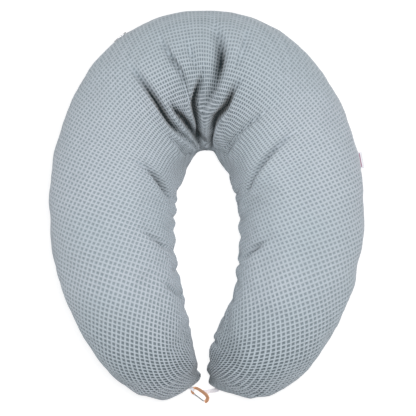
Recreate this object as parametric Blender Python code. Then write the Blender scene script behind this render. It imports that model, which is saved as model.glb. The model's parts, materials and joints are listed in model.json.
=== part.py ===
"""Horseshoe nursing pillow with a waffle-weave cover, zip, woven tag and a snap hook at the tips.

Lies flat: +Z up, crown towards +Y, the two tips meet towards -Y.  Metres throughout.
"""
import math

import bmesh
import bpy
from mathutils import Matrix, Vector

# ---- driving dimensions -------------------------------------------------------------------
CROWN_TOP_Y = 0.3555          # outer seam at the middle of the crown
# outer seam of one half, from the crown's middle to the tip: (radius, degrees turned)
OUTER_ARCS = ((0.2565, 61.0), (0.4655, 61.0), (0.2113, 41.0), (0.138, 39.0))
CROWN_DEPTH = 0.251           # crown, from the outer seam to the inner seam
# inner seam of one half, first heading below +X, then the arcs (negative: bends the other way)
INNER_HEADING = 13.5
INNER_ARCS = ((0.0434, 43.6), (0.1996, 27.4), (0.4477, 25.0), (-0.5718, -14.2))
RIB_FAN_START = 1.85          # how ribs crowd together at the crotch
RIB_FAN_END = 1.30
RIB_FAN_BALANCE = 1.32
HINGE_STATION = 0.38          # share of the outer seam where an arm begins
LEFT_END = 0.935              # the left tip is cut a little shorter, for the hook
RIGHT_END = 0.972

PILLOW_HEIGHT = 0.190         # at the crown, lying on a flat surface
TAPER_WIDTH = 0.13            # a limb narrower than this loses height quickly
TAPER_POWER = 1.3
SEAM_RATIO = 0.42             # seam height as a share of the local height
TOP_FULLNESS = 2.2            # superellipse powers of the two panels
BASE_FULLNESS = 3.0
FLAT_SINK = 0.008             # how far the crown would bulge below the surface it rests on

COVER_THICKNESS = 0.0020
CASING_THICKNESS = 0.0010
CASING_SHORTER = 0.022        # casing ends this share of the seam before the cover does
FILLING_SHORTER = 0.010
LAYER_GAP = 0.0008            # between cover, casing and filling
SEAM_GAP = 0.0003             # between the two panels, and between touching pieces
SPLIT_GAP = 0.0010            # between crown and arm, along the outer seam
HINGE_OFFSET = 0.0010         # arm hinge axis outside the outer seam

ZIP_HALF_ANGLE = 42.0
ZIP_TAPE_HEIGHT = 0.0090
ZIP_TAPE_THICKNESS = 0.0008
ZIP_ROW_HEIGHT = 0.0024
ZIP_ROW_THICKNESS = 0.0022
ZIP_DROP = 0.0010             # upper tape's top edge below the seam
ZIP_STOP_LENGTH = 0.0040
SLIDER_ANGLE = 38.0           # where the slider rests, left of the crown's middle
SLIDER_LENGTH = 0.0100
SLIDER_WALL = 0.0014
PULL_LENGTH = 0.0260
PULL_WIDTH = 0.0060
PULL_THICKNESS = 0.0014
PULL_NECK = 0.0028            # from the pull's axis to its wide tab
KNUCKLE_RADIUS = 0.0009
EAR_HEIGHT = 0.0010

HOOK_BAR = 0.0044             # thickness of the hook's bent bar
HOOK_LENGTH = 0.0386 + HOOK_BAR
HOOK_WIDTH = 0.0062 + 2.0 * HOOK_BAR
HOOK_REACH = 0.0060           # from the left tip's face to the near side of the hook's bar
HOOK_SIDE = 0.0024            # how far the eye sits off the middle of the tip's face
HOOK_RISE = 0.0210            # height of the eye
HOOK_TURN = -41.0             # heading of the hook seen from above
HOOK_DIP = 24.0               # nose lower than the eye
NOSE_BACK = 0.0022            # how far the nose curls back towards the gate
NEAR_BEND = 0.0026            # corners of the hook's middle line, from coarse to fine
FAR_BEND = 0.0050
FINE_BEND = 0.0003
SPINE_BULGE = 0.0008          # the spine bows out this far
PIVOT_RUN = 0.0085            # from the eye to the gate's pin, along the hook
GATE_THICKNESS = 0.0018
GATE_EYE_RADIUS = 0.0020
GATE_BLADE_WIDTH = 0.0022
GATE_PIN_RADIUS = 0.0008
RIBBON_WIDTH = 0.0050
RIBBON_SLACK = 0.0010         # between the hook's bar and the ribbon round it
RIBBON_WRAP = 130.0           # degrees either way that the ribbon hugs the bar
RIBBON_THICKNESS = 0.0008
CATCH_RIBBON_WIDTH = 0.0080
TACK_SIZE = 0.0012            # width of a sewn bar tack, twice its height
CATCH_LOW = 0.0012            # height of the catch ribbon's middle where it lies flat
# catch ribbon's route from the right tip: run towards -X, drift towards -Y, share of the drop
CATCH_ROUTE = ((0.007, 0.0022, 0.55), (0.014, 0.0040, 0.94), (0.021, 0.0050, 1.0), (0.027, 0.0054, 1.0))

TAG_LENGTH = 0.030
TAG_PROUD = 0.0085
TAG_THICKNESS = 0.0012
TAG_STITCH_INSET = 0.0014     # stitch line, from the seam
TAG_STITCH_WIDTH = 0.0008
TAG_STATION = 0.419           # share of the outer seam at the tag's middle

EDGE_ROUND = 0.0004
SAME_POINT = 0.00001

# ---- mesh resolution ----------------------------------------------------------------------
CROWN_STEPS = 14
ARM_STEPS = 15
TOP_STEPS = 10
BASE_STEPS = 8
CHAIN_STEPS = 48


def material(name, colour, roughness, metallic=0.0):
    made = bpy.data.materials.new(name)
    made.use_nodes = True
    shader = made.node_tree.nodes["Principled BSDF"]
    shader.inputs["Base Color"].default_value = (*colour, 1.0)
    shader.inputs["Roughness"].default_value = roughness
    shader.inputs["Metallic"].default_value = metallic
    return made


def new_object(name, bm, finish):
    """One named object from a bmesh, with its faces pointing out."""
    bmesh.ops.recalc_face_normals(bm, faces=bm.faces)
    mesh = bpy.data.meshes.new(name)
    bm.to_mesh(mesh)
    bm.free()
    mesh.shade_smooth()
    mesh.set_sharp_from_angle(angle=math.radians(35.0))
    mesh.materials.append(finish)
    made = bpy.data.objects.new(name, mesh)
    bpy.context.scene.collection.objects.link(made)
    return made


def set_origin(piece, point):
    """Move an object's origin to a point without moving its surface."""
    shift = Vector(point)
    piece.data.transform(Matrix.Translation(-shift))
    piece.location = shift


# ---- the two seams ------------------------------------------------------------------------
def arc_chain(start, heading, arcs):
    """Points along tangent arcs, with the length up to each; heading is clockwise from +X."""
    x, y = start
    turn = math.radians(heading)
    points = [(x, y)]
    lengths = [0.0]
    for radius, degrees in arcs:
        sweep = math.radians(degrees)
        centre_x = x - radius * math.sin(turn)
        centre_y = y - radius * math.cos(turn)
        for step in range(1, CHAIN_STEPS + 1):
            angle = turn + sweep * step / CHAIN_STEPS
            points.append((centre_x + radius * math.sin(angle), centre_y + radius * math.cos(angle)))
            lengths.append(lengths[-1] + abs(radius * sweep) / CHAIN_STEPS)
        x, y = points[-1]
        turn += sweep
    return points, lengths


def along(chain, share):
    """The point at a share of a chain's length."""
    points, lengths = chain
    target = share * lengths[-1]
    for index in range(1, len(lengths)):
        if target <= lengths[index] or index == len(lengths) - 1:
            part = (target - lengths[index - 1]) / (lengths[index] - lengths[index - 1])
            before = Vector(points[index - 1])
            return before.lerp(Vector(points[index]), part)
    return Vector(points[-1])


OUTER_CHAIN = arc_chain((0.0, CROWN_TOP_Y), 0.0, OUTER_ARCS)
INNER_CHAIN = arc_chain((0.0, CROWN_TOP_Y - CROWN_DEPTH), INNER_HEADING, INNER_ARCS)
OUTER_LENGTH = OUTER_CHAIN[1][-1]
CROWN_RADIUS = OUTER_ARCS[0][0]
CROWN_CENTRE = Vector((0.0, CROWN_TOP_Y - CROWN_RADIUS))


def rib_ends(station):
    """Inner and outer seam points of a rib; station runs -1 (left tip) to 1 (right tip)."""
    side = -1.0 if station < 0.0 else 1.0
    share = abs(station)
    inner_share = 0.0
    if share > 0.0:
        near = share ** RIB_FAN_START
        inner_share = near / (near + RIB_FAN_BALANCE * (1.0 - share) ** RIB_FAN_END)
    outer = along(OUTER_CHAIN, share)
    inner = along(INNER_CHAIN, inner_share)
    return Vector((side * inner.x, inner.y)), Vector((side * outer.x, outer.y))


def local_height(width):
    """Lying height of a limb of this width."""
    slack = math.tanh(width / TAPER_WIDTH) / math.tanh(CROWN_DEPTH / TAPER_WIDTH)
    return PILLOW_HEIGHT * slack ** TAPER_POWER


def section_point(station, angle, inset, panel):
    """A point of a rib's outline, moved inwards by inset.

    angle runs 0 at the outer seam to 180 degrees at the inner seam, over the top panel or,
    for the base panel, under the pillow.
    """
    inner, outer = rib_ends(station)
    across = outer - inner
    width = across.length
    height = local_height(width)
    seam = SEAM_RATIO * height
    half = width / 2.0 - inset
    power = 2.0 / (TOP_FULLNESS if panel == "top" else BASE_FULLNESS)
    cosine = math.cos(math.radians(angle))
    sine = max(0.0, math.sin(math.radians(angle)))
    reach = math.copysign(abs(cosine) ** power, cosine) * half
    if panel == "top":
        z = seam + (height - inset - seam) * sine ** power
    else:
        sink = FLAT_SINK * height / PILLOW_HEIGHT
        z = max(inset, seam - (seam + sink - inset) * sine ** power)
    middle = (inner + outer) / 2.0
    place = middle + across / width * reach
    return Vector((place.x, place.y, z))


def span(first, last, steps):
    return [first + (last - first) * step / steps for step in range(steps + 1)]


def add_grid(bm, rows):
    """Quads through rows of points; gives back the rows of vertices."""
    grid = [[bm.verts.new(point) for point in row] for row in rows]
    for row, following in zip(grid, grid[1:]):
        for a, b, c, d in zip(row, row[1:], following[1:], following):
            bm.faces.new((a, b, c, d))
    return grid


def join_rows(bm, row, other):
    for a, b, c, d in zip(row, row[1:], other[1:], other):
        bm.faces.new((a, b, c, d))


def panel_rows(stations, panel, inset, steps, lift):
    rows = []
    for station in stations:
        row = [section_point(station, angle, inset, panel) for angle in span(0.0, 180.0, steps)]
        rows.append([point + Vector((0.0, 0.0, lift)) for point in row])
    return rows


def cover_panel(name, stations, panel, closed_end, finish):
    """Half of the cover between two ribs: an open shell, closed at the tip if it has one."""
    steps = TOP_STEPS if panel == "top" else BASE_STEPS
    lift = SEAM_GAP / 2.0 if panel == "top" else 0.0
    inner_stations = list(stations)
    if closed_end:
        inner_stations[-1] -= math.copysign(COVER_THICKNESS / OUTER_LENGTH, stations[-1])
    bm = bmesh.new()
    outside = add_grid(bm, panel_rows(stations, panel, 0.0, steps, lift))
    inside = add_grid(bm, panel_rows(inner_stations, panel, COVER_THICKNESS, steps, lift))
    if panel == "base":
        trim_seam(outside)
        trim_seam(inside)
    for edge in (0, -1):
        join_rows(bm, [row[edge] for row in outside], [row[edge] for row in inside])
    join_rows(bm, outside[0], inside[0])
    if closed_end:
        bm.faces.new(outside[-1])
        bm.faces.new(inside[-1])
        bm.faces.new((outside[-1][0], outside[-1][-1], inside[-1][-1], inside[-1][0]))
    else:
        join_rows(bm, outside[-1], inside[-1])
    return new_object(name, bm, finish)


def trim_seam(grid):
    """Lower the base panel's two edges so that they clear the top panel's."""
    for row in grid:
        for edge in (row[0], row[-1]):
            edge.co.z -= SEAM_GAP / 2.0


def tube_rows(stations, inset):
    rows = []
    for station in stations:
        over = [section_point(station, angle, inset, "top") for angle in span(0.0, 180.0, TOP_STEPS)]
        under = [section_point(station, angle, inset, "base") for angle in span(180.0, 0.0, BASE_STEPS)]
        rows.append(over + under[1:])
    return rows


def inner_casing(name, stations, closed_end, finish):
    """The bag that holds the filling: a thin tube, sewn shut at the tip."""
    outer_inset = COVER_THICKNESS + LAYER_GAP
    inner_inset = outer_inset + CASING_THICKNESS
    inner_stations = list(stations)
    if closed_end:
        inner_stations[-1] -= math.copysign(CASING_THICKNESS / OUTER_LENGTH, stations[-1])
    bm = bmesh.new()
    outside = add_grid(bm, tube_rows(stations, outer_inset))
    inside = add_grid(bm, tube_rows(inner_stations, inner_inset))
    join_rows(bm, outside[0], inside[0])
    if closed_end:
        bm.faces.new(outside[-1][:-1])
        bm.faces.new(inside[-1][:-1])
    else:
        join_rows(bm, outside[-1], inside[-1])
    bmesh.ops.remove_doubles(bm, verts=bm.verts, dist=SAME_POINT)
    return new_object(name, bm, finish)


def filling(name, stations, finish):
    inset = COVER_THICKNESS + CASING_THICKNESS + 2.0 * LAYER_GAP
    bm = bmesh.new()
    grid = add_grid(bm, tube_rows(stations, inset))
    bm.faces.new(grid[0][:-1])
    bm.faces.new(grid[-1][:-1])
    bmesh.ops.remove_doubles(bm, verts=bm.verts, dist=SAME_POINT)
    return new_object(name, bm, finish)


# ---- zip ----------------------------------------------------------------------------------
def crown_point(angle, radius, z):
    """A point about the crown's centre; angle is degrees clockwise from +Y."""
    turn = math.radians(angle)
    return Vector((CROWN_CENTRE.x + radius * math.sin(turn), CROWN_CENTRE.y + radius * math.cos(turn), z))


def arc_bar(name, first, last, steps, radii, heights, finish):
    """A bar of rectangular section that follows the crown's outer seam."""
    corners = ((0, 0), (1, 0), (1, 1), (0, 1), (0, 0))
    rows = []
    for angle in span(first, last, steps):
        rows.append([crown_point(angle, radii[r], heights[h]) for r, h in corners])
    bm = bmesh.new()
    grid = add_grid(bm, rows)
    bm.faces.new(grid[0][:-1])
    bm.faces.new(grid[-1][:-1])
    bmesh.ops.remove_doubles(bm, verts=bm.verts, dist=SAME_POINT)
    return new_object(name, bm, finish)


def build_zip(cloth, coil, metal):
    """Two tapes, two rows of teeth, end stops, a slider and its pull."""
    seam = SEAM_RATIO * local_height(CROWN_DEPTH)
    tape_in = CROWN_RADIUS + SEAM_GAP
    tape_out = tape_in + ZIP_TAPE_THICKNESS
    row_out = tape_in + ZIP_ROW_THICKNESS
    upper_top = seam - ZIP_DROP
    upper_low = upper_top - ZIP_TAPE_HEIGHT
    rows_middle = upper_low - SEAM_GAP - ZIP_ROW_HEIGHT
    lower_top = rows_middle - ZIP_ROW_HEIGHT - SEAM_GAP
    lower_low = lower_top - ZIP_TAPE_HEIGHT
    tape = (tape_in, tape_out)
    row = (tape_in, row_out)
    reach = ZIP_HALF_ANGLE
    arc_bar("zip_tape_upper", -reach, reach, 30, tape, (upper_low, upper_top), cloth)
    arc_bar("zip_tape_lower", -reach, reach, 30, tape, (lower_low, lower_top), cloth)
    stop_angle = math.degrees(ZIP_STOP_LENGTH / CROWN_RADIUS)
    stop_gap = math.degrees(SEAM_GAP / CROWN_RADIUS)
    half_gap = SEAM_GAP / 2.0
    tooth_end = reach - stop_angle - stop_gap
    upper_row = (rows_middle + half_gap, rows_middle + ZIP_ROW_HEIGHT)
    lower_row = (rows_middle - ZIP_ROW_HEIGHT, rows_middle - half_gap)
    arc_bar("zip_teeth_upper", -tooth_end, tooth_end, 30, row, upper_row, coil)
    arc_bar("zip_teeth_lower", -tooth_end, tooth_end, 30, row, lower_row, coil)
    stop = (rows_middle - ZIP_ROW_HEIGHT, rows_middle + ZIP_ROW_HEIGHT)
    arc_bar("zip_stop_left", -reach, -reach + stop_angle, 2, row, stop, metal)
    arc_bar("zip_stop_right", reach - stop_angle, reach, 2, row, stop, metal)
    build_slider(row_out, tape_out, rows_middle, metal)


def build_slider(row_out, tape_out, middle, metal):
    """A channel that rides over the teeth, and a pull that flips on its ear."""
    half_length = math.degrees(SLIDER_LENGTH / 2.0 / CROWN_RADIUS)
    floor_radius = row_out + SEAM_GAP
    lip_radius = tape_out + SEAM_GAP
    top_radius = floor_radius + SLIDER_WALL
    inner_half = ZIP_ROW_HEIGHT + SEAM_GAP
    outer_half = inner_half + SLIDER_WALL
    profile = (
        (lip_radius, -outer_half), (top_radius, -outer_half), (top_radius, outer_half),
        (lip_radius, outer_half), (lip_radius, inner_half), (floor_radius, inner_half),
        (floor_radius, -inner_half), (lip_radius, -inner_half), (lip_radius, -outer_half),
    )
    rows = []
    for angle in span(-SLIDER_ANGLE - half_length, -SLIDER_ANGLE + half_length, 4):
        rows.append([crown_point(angle, radius, middle + z) for radius, z in profile])
    bm = bmesh.new()
    grid = add_grid(bm, rows)
    bm.faces.new(grid[0][:-1])
    bm.faces.new(grid[-1][:-1])
    bmesh.ops.remove_doubles(bm, verts=bm.verts, dist=SAME_POINT)
    slider = new_object("zip_slider", bm, metal)
    set_origin(slider, (CROWN_CENTRE.x, CROWN_CENTRE.y, middle))

    # pull: a flat tab with an eye, on a vertical axis just outside the slider
    axis_height = KNUCKLE_RADIUS * 2.0
    axis = crown_point(-SLIDER_ANGLE, top_radius + axis_height, middle)
    add_ears(slider, axis, axis_height + SEAM_GAP)
    bm = bmesh.new()
    tab_half = PULL_WIDTH / 2.0
    add_box(bm, (PULL_NECK, -PULL_THICKNESS / 2.0, -tab_half),
            (PULL_LENGTH, PULL_THICKNESS / 2.0, tab_half))
    bmesh.ops.bevel(bm, geom=bm.edges[:], offset=EDGE_ROUND, segments=1, affect="EDGES")
    pull = new_object("zip_pull", bm, metal)
    knuckle_height = 2.0 * (inner_half - EAR_HEIGHT)
    knuckle = add_cylinder_object("knuckle_guide", KNUCKLE_RADIUS, knuckle_height, 12, metal)
    unite(pull, knuckle)
    bm = bmesh.new()
    add_box(bm, (0.0, -PULL_THICKNESS * 0.4, -knuckle_height * 0.35),
            (PULL_NECK * 1.35, PULL_THICKNESS * 0.4, knuckle_height * 0.35))
    unite(pull, new_object("neck_guide", bm, metal))
    pull.location = axis
    pull.rotation_euler = (0.0, 0.0, math.radians(SLIDER_ANGLE))


def add_ears(slider, axis, ear_root):
    """Two ears above and below the pull's knuckle, united with the slider."""
    knuckle_half = ZIP_ROW_HEIGHT + SEAM_GAP - EAR_HEIGHT + SEAM_GAP
    radial = Vector((axis.x - CROWN_CENTRE.x, axis.y - CROWN_CENTRE.y, 0.0)).normalized()
    tangent = Vector((-radial.y, radial.x, 0.0))
    for side in (-1.0, 1.0):
        bm = bmesh.new()
        add_box(bm, (-ear_root, -KNUCKLE_RADIUS, -EAR_HEIGHT / 2.0),
                (KNUCKLE_RADIUS * 1.6, KNUCKLE_RADIUS, EAR_HEIGHT / 2.0))
        ear = new_object("ear_guide", bm, slider.data.materials[0])
        centre = axis + Vector((0.0, 0.0, side * (knuckle_half + EAR_HEIGHT / 2.0)))
        frame = Matrix((radial, tangent, Vector((0.0, 0.0, 1.0)))).transposed().to_4x4()
        ear.data.transform(Matrix.Translation(centre) @ frame)
        ear.data.transform(Matrix.Translation(-slider.location))
        ear.location = slider.location
        unite(slider, ear)


def unite(target, other):
    modify(target, other, "UNION")


def modify(target, other, operation):
    """Boolean two objects for good, and drop the second."""
    boolean = target.modifiers.new("boolean", "BOOLEAN")
    boolean.operation = operation
    boolean.solver = "EXACT"
    boolean.object = other
    bpy.context.view_layer.update()
    depsgraph = bpy.context.evaluated_depsgraph_get()
    result = bpy.data.meshes.new_from_object(target.evaluated_get(depsgraph))
    target.modifiers.clear()
    target.data = result
    bpy.data.objects.remove(other, do_unlink=True)


def add_box(bm, low, high):
    made = bmesh.ops.create_cube(bm, size=1.0)["verts"]
    size = Vector(high) - Vector(low)
    middle = (Vector(high) + Vector(low)) / 2.0
    bmesh.ops.scale(bm, vec=size, verts=made)
    bmesh.ops.translate(bm, vec=middle, verts=made)
    return made


def add_cylinder_object(name, radius, height, sides, finish):
    bm = bmesh.new()
    bmesh.ops.create_cone(
        bm, cap_ends=True, segments=sides, radius1=radius, radius2=radius, depth=height)
    return new_object(name, bm, finish)


# ---- hook, ribbons and tag ----------------------------------------------------------------
def swept_tube(name, points, radii, sides, finish):
    """A tube along a flat path; radii are the half width in the plane and the half thickness."""
    rows = []
    for index, point in enumerate(points):
        before = points[max(0, index - 1)]
        after = points[min(len(points) - 1, index + 1)]
        direction = (after - before).normalized()
        side = Vector((-direction.y, direction.x, 0.0))
        ring = []
        for step in range(sides + 1):
            turn = 2.0 * math.pi * step / sides
            ring.append(point + side * radii[0] * math.cos(turn) + Vector((0, 0, radii[1] * math.sin(turn))))
        rows.append(ring)
    bm = bmesh.new()
    grid = add_grid(bm, rows)
    bm.faces.new(grid[0][:-1])
    bm.faces.new(grid[-1][:-1])
    bmesh.ops.remove_doubles(bm, verts=bm.verts, dist=SAME_POINT)
    return new_object(name, bm, finish)


def smooth_path(points, per_span):
    """Catmull-Rom points through a short list."""
    ends = [2 * points[0] - points[1]] + points + [2 * points[-1] - points[-2]]
    path = []
    for a, b, c, d in zip(ends, ends[1:], ends[2:], ends[3:]):
        for step in range(per_span):
            t = step / per_span
            path.append(0.5 * (2 * b + (c - a) * t + (2 * a - 5 * b + 4 * c - d) * t * t
                               + (3 * b - 3 * c + d - a) * t * t * t))
    return path + [points[-1]]


def hook_frame():
    """From the hook's own frame (eye at the origin, nose towards +X) to the object's."""
    turn = Matrix.Rotation(math.radians(HOOK_TURN), 4, "Z")
    dip = Matrix.Rotation(math.radians(HOOK_DIP), 4, "Y")
    return Matrix.Translation(hook_eye()) @ turn @ dip


def hook_eye():
    """Middle of the bar that the ribbon holds, just off the left tip."""
    middle, normal = tip_face(-LEFT_END)
    sideways = Vector((-normal.y, normal.x, 0.0))
    eye = middle + normal * (HOOK_REACH + HOOK_BAR / 2.0) + sideways * HOOK_SIDE
    return Vector((eye.x, eye.y, HOOK_RISE))


def build_hook(metal, steel):
    """A small snap hook: a bent bar, and a gate on a pin across its open side."""
    half = HOOK_BAR / 2.0
    spine = HOOK_WIDTH / 2.0 - half
    far = HOOK_LENGTH - HOOK_BAR
    gate_line = -HOOK_WIDTH / 2.0 + half
    outline = [
        (PIVOT_RUN, gate_line), (PIVOT_RUN * 0.4, gate_line + FINE_BEND),
        (FINE_BEND, gate_line + NEAR_BEND), (0.0, 0.0), (FINE_BEND, spine - NEAR_BEND * 0.8),
        (NEAR_BEND * 1.7, spine), (far * 0.39, spine + SPINE_BULGE),
        (far * 0.7, spine + FINE_BEND), (far - FAR_BEND / 2.0, spine - FAR_BEND * 0.3),
        (far, spine - FAR_BEND), (far, gate_line + FAR_BEND * 0.6), (far - NOSE_BACK, gate_line),
    ]
    path = smooth_path([Vector((run, offset, 0.0)) for run, offset in outline], 3)
    frame = hook_frame()
    body = swept_tube("hook_body", path, (half, half * 0.9), 10, metal)
    gate_half = GATE_THICKNESS / 2.0
    pivot = Vector((PIVOT_RUN, gate_line, 0.0))
    slot_radius = HOOK_BAR * 0.82
    slot = add_cylinder_object("slot_guide", slot_radius, GATE_THICKNESS + 2.0 * SEAM_GAP, 20, metal)
    slot.location = pivot
    modify(body, slot, "DIFFERENCE")
    bore = add_cylinder_object("bore_guide", GATE_PIN_RADIUS + SEAM_GAP, HOOK_BAR * 2.0, 12, metal)
    bore.location = pivot
    modify(body, bore, "DIFFERENCE")

    nose = far - NOSE_BACK - half - SEAM_GAP
    gate = add_cylinder_object("hook_gate", GATE_EYE_RADIUS, GATE_THICKNESS, 20, steel)
    bm = bmesh.new()
    blade_half = GATE_BLADE_WIDTH / 2.0
    add_box(bm, (GATE_EYE_RADIUS / 4.0, -blade_half, -gate_half),
            (nose - pivot.x, blade_half, gate_half))
    blade = new_object("blade_guide", bm, steel)
    unite(gate, blade)
    eye = add_cylinder_object("eye_guide", GATE_PIN_RADIUS + SEAM_GAP, GATE_THICKNESS * 3.0, 12, steel)
    modify(gate, eye, "DIFFERENCE")
    pin = add_cylinder_object("hook_gate_pin", GATE_PIN_RADIUS, HOOK_BAR * 0.9, 12, steel)
    body.matrix_world = frame
    gate.matrix_world = frame @ Matrix.Translation(pivot)
    pin.matrix_world = frame @ Matrix.Translation(pivot)


def ribbon(name, path, width, thickness, across, finish, closed=False):
    """A flat ribbon: a rectangle swept along a path that turns about the across direction."""
    count = len(path)
    outer_rows = []
    for index, point in enumerate(path):
        if closed:
            direction = path[(index + 1) % count] - path[index - 1]
        else:
            direction = path[min(count - 1, index + 1)] - path[max(0, index - 1)]
        normal = direction.cross(across).normalized() * (thickness / 2.0)
        wide = across * (width / 2.0)
        corners = (point + normal - wide, point + normal + wide, point - normal + wide, point - normal - wide)
        outer_rows.append(corners + corners[:1])
    if closed:
        outer_rows.append(outer_rows[0])
    bm = bmesh.new()
    grid = add_grid(bm, outer_rows)
    if not closed:
        bm.faces.new(grid[0][:-1])
        bm.faces.new(grid[-1][:-1])
    bmesh.ops.remove_doubles(bm, verts=bm.verts, dist=SAME_POINT)
    return new_object(name, bm, finish)


def build_ribbons(satin, thread):
    """The loop that holds the hook on the left tip, and the loop it catches on the right."""
    frame = hook_frame()
    across = (frame.to_3x3() @ Vector((0.0, 1.0, 0.0))).normalized()
    bar = HOOK_BAR / 2.0 + RIBBON_SLACK + RIBBON_THICKNESS / 2.0
    tail = hook_tail_length()
    loop = []
    for angle in span(RIBBON_WRAP, -RIBBON_WRAP, 12):
        turn = math.radians(angle)
        loop.append(Vector((bar * math.cos(turn), 0.0, bar * math.sin(turn))))
    squeeze = RIBBON_THICKNESS / 2.0 + SEAM_GAP / 2.0
    neck = bar + (tail - bar) * 0.3
    loop.append(Vector((-neck, 0.0, -squeeze)))
    loop.append(Vector((-tail, 0.0, -squeeze)))
    loop.append(Vector((-tail, 0.0, squeeze)))
    loop.append(Vector((-neck, 0.0, squeeze)))
    ribbon("hook_ribbon", [frame @ point for point in loop], RIBBON_WIDTH, RIBBON_THICKNESS,
           across, satin, closed=True)

    catch_across = Vector((0.08, 1.0, 0.0)).normalized()
    root, face_normal = tip_face(RIGHT_END)
    clear = SEAM_GAP + CATCH_RIBBON_WIDTH / 2.0 * abs(catch_across.dot(face_normal)) + RIBBON_THICKNESS
    start = root + face_normal * clear
    catch = [start]
    for run, sideways, drop in CATCH_ROUTE:
        height = start.z + (CATCH_LOW - start.z) * drop
        catch.append(Vector((start.x - run, start.y - sideways, height)))
    ribbon("catch_ribbon", smooth_path(catch, 4), CATCH_RIBBON_WIDTH, RIBBON_THICKNESS * 1.5,
           catch_across, satin)
    tack_height = squeeze + RIBBON_THICKNESS / 2.0 + SEAM_GAP + TACK_SIZE / 4.0
    tack_place = frame @ Vector((TACK_SIZE * 0.6 - tail, 0.0, tack_height))
    tack = bar_tack("hook_bar_tack", RIBBON_WIDTH * 0.8, thread)
    tack.matrix_world = Matrix.Translation(tack_place) @ frame.to_3x3().to_4x4()


def tip_face(station):
    """Middle of a tip's end face at seam height, and the direction that it faces."""
    inner, outer = rib_ends(station)
    across = (outer - inner).normalized()
    normal = Vector((-across.y, across.x, 0.0))
    if normal.y > 0.0:
        normal = -normal
    middle = (inner + outer) / 2.0
    seam = SEAM_RATIO * local_height((outer - inner).length)
    return Vector((middle.x, middle.y, seam)), normal


def hook_tail_length():
    """From the hook's eye back to the left tip's end face, along the hook."""
    root, normal = tip_face(-LEFT_END)
    frame = hook_frame()
    back = frame.to_3x3() @ Vector((-1.0, 0.0, 0.0))
    across = frame.to_3x3() @ Vector((0.0, 1.0, 0.0))
    clear = SEAM_GAP + RIBBON_WIDTH / 2.0 * abs(across.dot(normal)) + RIBBON_THICKNESS / 2.0
    eye = hook_eye()
    return (root + normal * clear - eye).dot(normal) / back.dot(normal)


def bar_tack(name, length, finish):
    bm = bmesh.new()
    half = TACK_SIZE / 2.0
    add_box(bm, (-half, -length / 2.0, -half / 2.0), (half, length / 2.0, half / 2.0))
    return new_object(name, bm, finish)


def build_tag(woven, thread):
    """A folded label caught in the outer seam of the right flank."""
    _, before = rib_ends(TAG_STATION - TAG_LENGTH / 2.0 / OUTER_LENGTH)
    _, after = rib_ends(TAG_STATION + TAG_LENGTH / 2.0 / OUTER_LENGTH)
    inner, outer = rib_ends(TAG_STATION)
    seam = SEAM_RATIO * local_height((outer - inner).length)
    down = (after - before).normalized()
    out = Vector((-down.y, down.x))
    if out.x < 0.0:
        out = -out
    frame = Matrix(((out.x, down.x, 0.0), (out.y, down.y, 0.0), (0.0, 0.0, 1.0))).to_4x4()
    root = outer + out * SEAM_GAP
    frame = Matrix.Translation((root.x, root.y, seam)) @ frame
    bm = bmesh.new()
    add_box(bm, (0.0, -TAG_LENGTH / 2.0, -TAG_THICKNESS / 2.0),
            (TAG_PROUD, TAG_LENGTH / 2.0, TAG_THICKNESS / 2.0))
    bmesh.ops.bevel(bm, geom=bm.edges[:], offset=EDGE_ROUND, segments=2, affect="EDGES")
    tag = new_object("side_tag", bm, woven)
    tag.matrix_world = frame
    bm = bmesh.new()
    line = TAG_THICKNESS / 2.0 + SEAM_GAP
    add_box(bm, (TAG_STITCH_INSET, -TAG_LENGTH * 0.46, line),
            (TAG_STITCH_INSET + TAG_STITCH_WIDTH, TAG_LENGTH * 0.46, line + SEAM_GAP))
    stitch = new_object("side_tag_stitch", bm, thread)
    stitch.matrix_world = frame


# ---- assembly -----------------------------------------------------------------------------
def main():
    for old in list(bpy.data.objects):
        bpy.data.objects.remove(old, do_unlink=True)
    waffle = material("waffle_cotton", (0.42, 0.51, 0.55), 0.9)
    lining = material("casing_cotton", (0.85, 0.84, 0.80), 0.9)
    beads = material("filling_fibre", (0.93, 0.93, 0.92), 1.0)
    tape = material("zip_tape", (0.45, 0.53, 0.57), 0.85)
    coil = material("zip_nylon", (0.62, 0.66, 0.68), 0.45)
    steel = material("steel", (0.75, 0.75, 0.76), 0.25, 1.0)
    copper = material("copper", (0.80, 0.48, 0.30), 0.35, 1.0)
    satin = material("satin_ribbon", (0.88, 0.87, 0.92), 0.4)
    woven = material("woven_tag", (0.95, 0.94, 0.94), 0.7)
    thread = material("thread", (0.60, 0.33, 0.42), 0.7)

    split = SPLIT_GAP / 2.0 / OUTER_LENGTH
    crown = span(-HINGE_STATION + split, HINGE_STATION - split, CROWN_STEPS)
    spans = {"crown": (crown, False)}
    for side, sign, end in (("left", -1.0, LEFT_END), ("right", 1.0, RIGHT_END)):
        casing_end = end - CASING_SHORTER
        filling_end = casing_end - FILLING_SHORTER
        stations = span(sign * (HINGE_STATION + split), sign * filling_end, ARM_STEPS)
        spans[side] = (stations + [sign * casing_end, sign * end], True)
    for part, (stations, tip) in spans.items():
        cover_panel("cover_top_" + part, stations, "top", tip, waffle)
        cover_panel("cover_base_" + part, stations, "base", tip, waffle)
        inner_casing("inner_casing_" + part, stations[:-1] if tip else stations, tip, lining)
        filling("filling_" + part, stations[:-2] if tip else stations, beads)
    build_zip(tape, coil, steel)
    build_hook(copper, steel)
    build_ribbons(satin, thread)
    build_tag(woven, thread)


main()
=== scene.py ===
import json
import math

import bmesh
import bpy
import numpy as np
from mathutils import Matrix, Vector

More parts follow.
